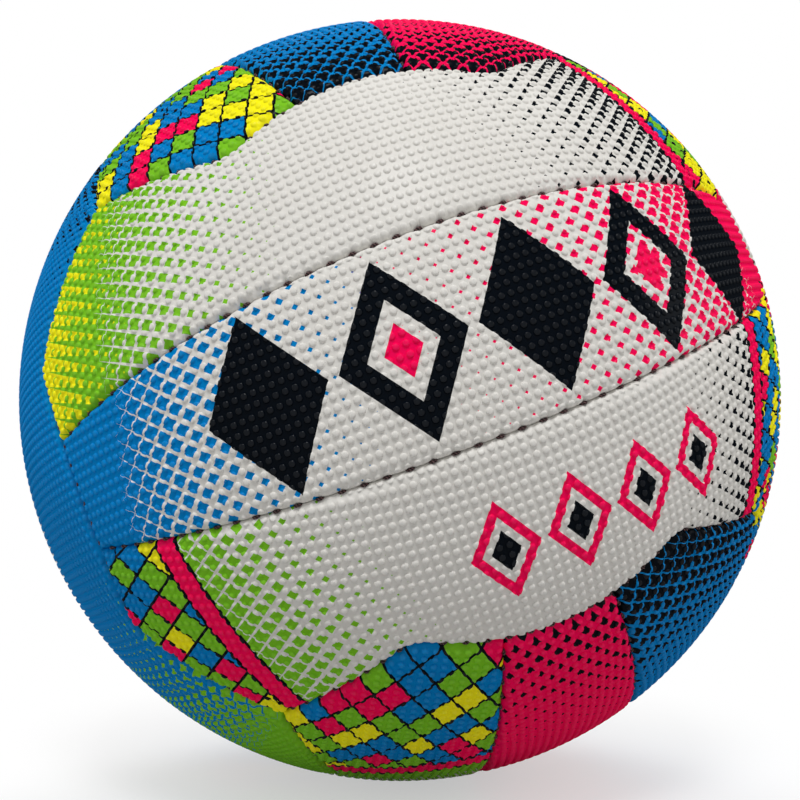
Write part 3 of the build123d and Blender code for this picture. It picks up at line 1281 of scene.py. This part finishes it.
@dataclass(frozen=True)
class StripPrint:
    """The print on one cover strip. Places are lengths from the strip's middle."""

    tail: EndField
    head: EndField
    ground: Ink = Ink.WHITE
    lean: float = 0.35
    row: LozengeRow | None = None

    # The lozenges of the screen and the patches, the outlined band, and the span in which a second ink fills.
    screen_length: float = 5.4
    screen_height: float = 4.7
    patch_length: float = 10.4
    patch_height: float = 8.6
    patch_line: float = 0.1
    band_half_width: float = 2.7
    band_line: float = 0.9
    over_span: float = 36.0

    # The rubber: its shine and clear coat, the dust on it and its grain.
    shine: float = 0.0
    low_coat: float = 0.08
    top_coat: float = 0.2
    coat_roughness: float = 0.2
    soiling: float = 0.14
    dust: tuple[float, float, float] = (186, 172, 154)
    grain_scale: float = 2200.0
    low_roughness: float = 0.34
    high_roughness: float = 0.5
    bump: float = 0.18
    bump_depth: float = 0.08

    def end_colour(self, sheet: NodeSheet, groups: PrintGroups, flat: Socket, ground: object,
                   end: End) -> Socket:
        """Prints one end over a ground.

        Args:
            sheet: the material's nodes.
            groups: the shared node groups.
            flat: the flat place on the strip.
            ground: the colour printed on.
            end: which end it is.

        Returns:
            The colour with the end printed.
        """
        style = self.tail if end is End.TAIL else self.head
        along, across = sheet.split(flat)
        outward = sheet.math("MULTIPLY", along, float(end.value))
        outward = sheet.math("MULTIPLY_ADD", across, self.lean, outward)

        def grown(start: float, span: float) -> Socket:
            """An amount that grows outward from a start over a span."""
            return sheet.math("DIVIDE", sheet.math("SUBTRACT", outward, start), span)

        def screen(amount: Socket) -> Socket:
            """The mask of the lozenge screen for an amount.

            Args:
                amount: how large the lozenges are, from 0 to 1.

            Returns:
                The mask.
            """
            node = sheet.group(groups.fade, flat=flat, length=self.screen_length,
                               height=self.screen_height, amount=amount)
            return node.outputs["Mask"]

        faded = screen(grown(style.starts, style.full - style.starts))
        colour = sheet.mix(faded, ground, style.ink.linear())
        if style.over_from is not None:
            over = screen(grown(style.over_from, self.over_span))
            colour = sheet.mix(over, colour, style.over_ink.linear())
        if style.band_at is not None:
            inks = {"ink_a": Ink.BLUE, "ink_b": Ink.LIME, "ink_c": Ink.YELLOW, "ink_d": style.band_ink}
            patch = sheet.group(groups.harlequin, flat=flat, length=self.patch_length,
                                height=self.patch_height, line=self.patch_line, line_ink=Ink.NAVY.linear(),
                                seed=style.band_at, **{name: ink.linear() for name, ink in inks.items()})
            offset = sheet.math("SUBTRACT", outward, style.band_at)
            colour = sheet.mix(sheet.math("GREATER_THAN", offset, 0.0), colour, patch.outputs["Color"])
            band = sheet.group(groups.band, offset=offset, half_width=self.band_half_width,
                               line=self.band_line)
            colour = sheet.mix(band.outputs["Outline"], colour, Ink.NAVY.linear())
            colour = sheet.mix(band.outputs["Band"], colour, style.band_ink.linear())
        return colour

    def make(self, name: str, groups: PrintGroups) -> Material:
        """Builds the material of a strip with this print.

        Args:
            name: the material's name.
            groups: the shared node groups.

        Returns:
            The material.
        """
        material, sheet, shader = new_material(name)
        flat = sheet.attribute(FLAT_PLACE, "Vector")
        colour = self.ground.linear()
        for end in End:
            colour = self.end_colour(sheet, groups, flat, colour, end)
        if self.row is not None:
            colour = self.row.over(sheet, groups, flat, colour)
        grain = sheet.group(groups.grain, scale=self.grain_scale, low=self.low_roughness,
                            high=self.high_roughness)
        soiled = sheet.math("MULTIPLY", grain.outputs["Cloud"], self.soiling)
        dusty = sheet.mix(soiled, colour, linear_colour(*self.dust), "MULTIPLY")
        sheet.feed(shader.inputs["Base Color"], dusty)
        turned_away = sheet.add("ShaderNodeLayerWeight").outputs["Facing"]
        coat = sheet.math("MULTIPLY_ADD", sheet.attribute(PIMPLE_LIFT, "Fac"), self.top_coat, self.low_coat)
        coat = sheet.math("MULTIPLY", coat, sheet.math("SUBTRACT", 1.0, turned_away))
        sheet.feed(shader.inputs["Coat Weight"], coat)
        sheet.feed(shader.inputs["Roughness"], grain.outputs["Roughness"])
        shader.inputs["Coat Roughness"].default_value = self.coat_roughness
        shader.inputs["Specular IOR Level"].default_value = self.shine
        normal = sheet.bump(grain.outputs["Height"], self.bump, self.bump_depth)
        sheet.feed(shader.inputs["Normal"], normal)
        return material


PRINTS: dict[str, StripPrint] = {
    "front_upper": StripPrint(
        EndField(Ink.LIME, 24, 78, over_from=66, over_ink=Ink.YELLOW),
        EndField(Ink.NAVY, 12, 88, band_at=74),
    ),
    "front_middle": StripPrint(
        EndField(Ink.BLUE, 18, 86),
        EndField(Ink.MAGENTA, -16, 86),
        row=LARGE_ROW,
    ),
    "front_lower": StripPrint(
        EndField(Ink.NAVY, 36, 92, band_at=73),
        EndField(Ink.LIME, 28, 76, band_at=76),
        row=SMALL_ROW,
    ),
    "back_upper": StripPrint(EndField(Ink.MAGENTA, 24, 80), EndField(Ink.LIME, 26, 82, band_at=80)),
    "back_middle": StripPrint(EndField(Ink.BLUE, 40, 96), EndField(Ink.MAGENTA, 40, 100)),
    "back_lower": StripPrint(EndField(Ink.NAVY, 30, 96), EndField(Ink.BLUE, 26, 80, band_at=84)),
    "right_front": StripPrint(
        EndField(Ink.YELLOW, -10, 30, band_at=14),
        EndField(Ink.MAGENTA, 0, 50, over_from=44),
    ),
    "right_middle": StripPrint(
        EndField(Ink.BLUE, 20, 70, over_from=60),
        EndField(Ink.LIME, 30, 80, band_at=74),
    ),
    "right_rear": StripPrint(
        EndField(Ink.LIME, 24, 80, band_at=82),
        EndField(Ink.BLUE, 20, 78, over_from=62),
    ),
    "left_rear": StripPrint(EndField(Ink.BLUE, 20, 76), EndField(Ink.MAGENTA, 30, 84, over_from=66)),
    "left_middle": StripPrint(EndField(Ink.LIME, 30, 88, band_at=84), EndField(Ink.BLUE, 24, 80)),
    "left_front": StripPrint(EndField(Ink.NAVY, 44, 120), EndField(Ink.LIME, 22, 84), ground=Ink.BLUE),
    "top_left": StripPrint(EndField(Ink.BLUE, -10, 40, band_at=34), EndField(Ink.MAGENTA, 30, 84)),
    "top_middle": StripPrint(EndField(Ink.NAVY, 34, 112), EndField(Ink.WHITE, 0, 66), ground=Ink.BLUE),
    "top_right": StripPrint(EndField(Ink.WHITE, 0, 66), EndField(Ink.NAVY, 40, 112), ground=Ink.MAGENTA),
    "bottom_right": StripPrint(EndField(Ink.NAVY, 30, 108), EndField(Ink.WHITE, 0, 66), ground=Ink.BLUE),
    "bottom_middle": StripPrint(
        EndField(Ink.NAVY, 46, 150),
        EndField(Ink.WHITE, 0, 66),
        ground=Ink.MAGENTA,
    ),
    "bottom_left": StripPrint(EndField(Ink.BLUE, 30, 84), EndField(Ink.LIME, -10, 40, band_at=50)),
}


@dataclass(frozen=True)
class Face:
    """One of the ball's six faces: the way its strips run, the way it looks, and its sides' names."""

    name: str
    strip_axis: tuple[float, float, float]
    outward: tuple[float, float, float]
    sides: tuple[str, str]
    has_valve: bool = False

    def frame(self, half_turn: bool = False) -> Array:
        """The face's axes in the ball's frame, as rows, half turned about its middle or not.

        Args:
            half_turn: whether they are turned half round.

        Returns:
            The three axes.
        """
        x_axis = LAYOUT.turned(self.strip_axis)
        z_axis = LAYOUT.turned(self.outward)
        y_axis = np.cross(z_axis, x_axis)
        sign = -1 if half_turn else 1
        return np.stack([sign * x_axis, sign * y_axis, z_axis])


FACES = (
    Face("front", (1, 0, 0), (0, -1, 0), ("upper", "lower")),
    Face("back", (-1, 0, 0), (0, 1, 0), ("upper", "lower"), has_valve=True),
    Face("right", (0, 0, 1), (1, 0, 0), ("front", "rear")),
    Face("left", (0, 0, 1), (-1, 0, 0), ("rear", "front")),
    Face("top", (0, 1, 0), (0, 0, 1), ("left", "right")),
    Face("bottom", (0, 1, 0), (0, 0, -1), ("right", "left")),
)


@dataclass
class CoverFace:
    """The three cover strips of a face."""

    face: Face
    groups: PrintGroups
    shapes: dict[StripKind, StripShape]

    def strip(self, strip_name: str, kind: StripKind, half_turn: bool) -> None:
        """Builds one strip and prints it.

        Args:
            strip_name: middle, or the name of its side.
            kind: its shape.
            half_turn: whether it is on the face's -Y side.
        """
        shape = self.shapes[kind]
        name = f"{self.face.name}_{strip_name}"
        points = shape.points @ self.face.frame(half_turn) * METRES
        made = new_mesh_object(f"strip_{name}", points, shape.loops, shape.counts)
        place = np.zeros((len(points), 3), np.float32)
        place[:, :2] = shape.flat
        write_attribute(made.data, FLAT_PLACE, "FLOAT_VECTOR", place)
        write_attribute(made.data, PIMPLE_LIFT, "FLOAT", shape.lift.astype(np.float32))
        edges = np.zeros(2 * len(made.data.edges), np.int32)
        made.data.edges.foreach_get("vertices", edges)
        feet = shape.feet[edges.reshape(-1, 2)]
        sharp = (feet[:, 0] == feet[:, 1]) & (feet[:, 0] != NO_PIMPLE)
        write_attribute(made.data, "sharp_edge", "BOOLEAN", sharp, "EDGE")
        bake_map = made.data.uv_layers.new(name=BAKE_MAP)
        bake_map.uv.foreach_set("vector", shape.map_place[shape.loops].astype(np.float32).ravel())
        made.data.materials.append(PRINTS[name].make(f"printed_rubber_{name}", self.groups))
        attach(made, ROOT_BODY)
        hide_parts(f"cover_{name}")
        log.info("strip %s: %d faces", name, len(shape.counts))

    def build(self) -> None:
        """Builds the three strips."""
        self.strip("middle", StripKind.VALVE if self.face.has_valve else StripKind.MIDDLE, False)
        for side_name, half_turn in zip(self.face.sides, (False, True)):
            self.strip(side_name, StripKind.SIDE, half_turn)


@dataclass
class SeamStitches:
    """The stitches in the seams of a face: short arches of two-ply thread that dive in at both ends."""

    face: Face
    finish: Material
    half_length: float = 1.02
    thread_radius: float = 0.32
    ply: float = 0.08
    twist_pitch: float = 1.3
    top_depth: float = 0.98
    dive: float = 0.75
    stations: int = 11
    corners: int = 10
    # How sharply the thread's painted highlight narrows onto the ply crests.
    crest: float = 3.0
    taper_power: int = 6
    end_share: float = 0.05
    probe: float = 0.01

    @cached_property
    def shares(self) -> Array:
        """Places of the stations along a stitch, from -1 to 1."""
        return np.linspace(-1, 1, self.stations)

    @cached_property
    def angles(self) -> Array:
        """Angles of the corners around the thread."""
        return np.arange(self.corners) * 2 * pi / self.corners

    @cached_property
    def ply_wave(self) -> Array:
        """How far the two plies stand out, from -1 to 1, by station and corner."""
        twist = 2 * pi * self.shares * self.half_length / self.twist_pitch
        return np.cos(2 * (self.angles - twist[:, None]))

    def run_points(self, run: SeamRun) -> Array:
        """The stitches of a run as tubes.

        Args:
            run: the stretch of seam.

        Returns:
            Vertex places by stitch, station and corner.
        """
        lengths = run.centres()[:, None] + self.shares * self.half_length
        out = run.trace(lengths)
        ahead = run.trace(lengths + self.probe) - run.trace(lengths - self.probe)
        across = np.cross(ahead, out)
        across /= np.linalg.norm(across, axis=-1, keepdims=True)
        depth = self.top_depth + self.thread_radius + self.dive * self.shares**2
        taper = np.sqrt(np.maximum(1 - np.abs(self.shares) ** self.taper_power, self.end_share))
        size = (self.thread_radius + self.ply * self.ply_wave) * taper[:, None]
        centre = out * (LAYOUT.radius - depth)[..., None]
        ring = out[:, :, None] * (np.cos(self.angles) * size)[None, ..., None]
        ring = ring + across[:, :, None] * (np.sin(self.angles) * size)[None, ..., None]
        return centre[:, :, None] + ring

    def build(self) -> None:
        """Builds all the stitches of the face as one piece."""
        tubes = np.concatenate([self.run_points(run) for run in face_runs()])
        number = np.arange(tubes[..., 0].size).reshape(tubes.shape[:3])
        beside = np.roll(number, -1, 2)
        sides = np.stack([number[:, :-1], beside[:, :-1], beside[:, 1:], number[:, 1:]], axis=-1)
        caps = np.concatenate([number[:, 0, ::-1], number[:, -1]])
        loops = np.concatenate([sides.ravel(), caps.ravel()])
        counts = np.concatenate([np.full(sides[..., 0].size, 4), np.full(len(caps), self.corners)])
        points = tubes.reshape(-1, 3) @ self.face.frame() * METRES
        made = new_mesh_object(f"stitches_{self.face.name}", points, loops, counts)
        # The crests of the plies, where the thread's finish paints a highlight.
        lift = np.broadcast_to(((1 + self.ply_wave) / 2) ** self.crest, number.shape)
        write_attribute(made.data, PLY_LIFT, "FLOAT", lift.astype(np.float32))
        made.data.materials.append(self.finish)
        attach(made, ROOT_BODY)
        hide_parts(f"seam_thread_{self.face.name}")
        log.info("stitches %s: %d", self.face.name, len(tubes))


@dataclass
class InnerLayers:
    """The CAD pieces that stay as they are: linings, bladder and valve."""

    nodes: dict[str, Object]
    groups: PrintGroups

    def dress(self) -> None:
        """Gives every piece its finish."""
        finishes = {"lining": LINING, "bladder": BUTYL, "valve_boot": BOOT, "valve_core": CORE}
        materials = {start: finish.make(self.groups) for start, finish in finishes.items()}
        for name, node in self.nodes.items():
            for start, material in materials.items():
                if name.startswith(start):
                    node.data.materials.clear()
                    node.data.materials.append(material)
                    log.info("dressed %s", name)


def hang(name: str, data: bpy.types.ID, place: tuple[float, float, float]) -> Object:
    """Places a lamp or a camera so that it looks at the ball's middle.

    Args:
        name: its name.
        data: what it is.
        place: where it hangs, in metres.

    Returns:
        The object.
    """
    made = bpy.data.objects.new(name, data)
    made.location = place
    made.rotation_euler = (-Vector(place)).to_track_quat("-Z", "Y").to_euler()
    bpy.context.collection.objects.link(made)
    log.info("%s", name)
    return made


@dataclass(frozen=True)
class Lamp:
    """A square soft lamp that looks at the ball, in metres and watts."""

    name: str
    place: tuple[float, float, float]
    size: float
    power: float

    def build(self) -> None:
        """Hangs the lamp."""
        data = bpy.data.lights.new(self.name, "AREA")
        data.size = self.size
        data.energy = self.power
        hang(self.name, data, self.place)


@dataclass
class Studio:
    """The floor, the light and the camera, in metres."""

    lamps: tuple[Lamp, ...] = (
        Lamp("overhead", (-0.1, -0.76, 0.92), 0.3, 7.9),
        Lamp("overhead_rear", (0.1, 0.85, 0.75), 0.5, 6.4),
        Lamp("right_side", (1.0, -0.3, 0.35), 0.4, 1.6),
        Lamp("left_side", (-1.0, -0.3, 0.35), 0.4, 1.2),
    )

    # The floor and the ball's shadow on it.
    floor_height: float = -0.111
    floor_half_side: float = 6.0
    floor_roughness: float = 0.9
    shadow_white: float = 0.5
    shadow_radius: float = 0.02
    white_radius: float = 0.2
    lit_colour: tuple[float, float, float, float] = (0.49, 0.49, 0.49, 1.0)
    seen_colour: tuple[float, float, float, float] = (0.95, 0.95, 0.95, 1.0)

    # The camera and the white surroundings.
    camera_place: tuple[float, float, float] = (-0.0387, -0.2894, -0.0406)
    lens: float = 42.2
    sensor: float = 36.0
    clip_start: float = 0.01
    world_strength: float = 0.37

    def build(self) -> None:
        """Builds the floor, the lamps, the world and the camera."""
        self.floor()
        self.world()
        for lamp in self.lamps:
            lamp.build()
        self.camera()

    @staticmethod
    def seen_directly(sheet: NodeSheet) -> Socket:
        """One for what the camera, reflections and see-through things show, and nothing for light.

        Args:
            sheet: the nodes to add to.

        Returns:
            The mask.
        """
        path = sheet.add("ShaderNodeLightPath").outputs
        seen = sheet.math("MAXIMUM", path["Is Camera Ray"], path["Is Glossy Ray"])
        return sheet.math("MAXIMUM", seen, path["Is Transmission Ray"])

    def floor(self) -> None:
        """Lays a pale floor that keeps the ball's shadow and turns white away from it."""
        half = self.floor_half_side
        ways = ((-half, -half), (half, -half), (half, half), (-half, half))
        corners = np.array([(*way, self.floor_height) for way in ways])
        floor = new_mesh_object("floor", corners, np.arange(4), np.array([4]))
        material, sheet, shader = new_material("pale_floor")
        seen = self.seen_directly(sheet)
        sheet.feed(shader.inputs["Base Color"], sheet.mix(seen, self.lit_colour, self.seen_colour))
        shader.inputs["Roughness"].default_value = self.floor_roughness
        place = sheet.add("ShaderNodeNewGeometry").outputs["Position"]
        level = sheet.add("ShaderNodeVectorMath", operation="MULTIPLY")
        sheet.feed(level.inputs[0], place)
        level.inputs[1].default_value = (1.0, 1.0, 0.0)
        length = sheet.add("ShaderNodeVectorMath", operation="LENGTH")
        sheet.feed(length.inputs[0], level.outputs[0])
        ramp = sheet.add("ShaderNodeMapRange", interpolation_type="SMOOTHSTEP")
        sheet.feed(ramp.inputs["Value"], length.outputs["Value"])
        ramp.inputs["From Min"].default_value = self.shadow_radius
        ramp.inputs["From Max"].default_value = self.white_radius
        ramp.inputs["To Min"].default_value = self.shadow_white
        white = sheet.add("ShaderNodeEmission")
        share = sheet.math("MULTIPLY", ramp.outputs[0], seen)
        mixed = sheet.add("ShaderNodeMixShader")
        sheet.feed(mixed.inputs[0], share)
        sheet.feed(mixed.inputs[1], shader.outputs[0])
        sheet.feed(mixed.inputs[2], white.outputs[0])
        output = next(node for node in sheet.tree.nodes if node.type == "OUTPUT_MATERIAL")
        sheet.feed(output.inputs["Surface"], mixed.outputs[0])
        floor.data.materials.append(material)
        log.info("floor")

    def world(self) -> None:
        """Surrounds the ball with even white light, full white where it is seen directly."""
        world = bpy.data.worlds.new("white_room")
        world.use_nodes = True
        world.node_tree.nodes.clear()
        sheet = NodeSheet(world.node_tree)
        background = sheet.add("ShaderNodeBackground")
        rest = 1.0 - self.world_strength
        strength = sheet.math("MULTIPLY_ADD", self.seen_directly(sheet), rest, self.world_strength)
        sheet.feed(background.inputs["Strength"], strength)
        background.inputs["Color"].default_value = (1.0, 1.0, 1.0, 1.0)
        output = sheet.add("ShaderNodeOutputWorld")
        sheet.feed(output.inputs["Surface"], background.outputs[0])
        bpy.context.scene.world = world

    def camera(self) -> None:
        """Sets the camera up at the photograph's viewing angle."""
        data = bpy.data.cameras.new("camera")
        data.lens = self.lens
        data.sensor_width = self.sensor
        data.clip_start = self.clip_start
        bpy.context.scene.camera = hang("camera", data, self.camera_place)


def main() -> None:
    """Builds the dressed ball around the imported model."""
    logging.basicConfig(level=logging.INFO, format="%(message)s")
    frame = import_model()
    bpy.context.scene.view_settings.view_transform = "Standard"
    groups = PrintGroups()
    shapes = {kind: StripForm(kind).shape() for kind in StripKind}
    thread = THREAD.make(groups)
    for face in FACES:
        CoverFace(face, groups, shapes).build()
        SeamStitches(face, thread).build()
    InnerLayers(frame["nodes"], groups).dress()
    Studio().build()


if __name__ == "__main__":
    main()
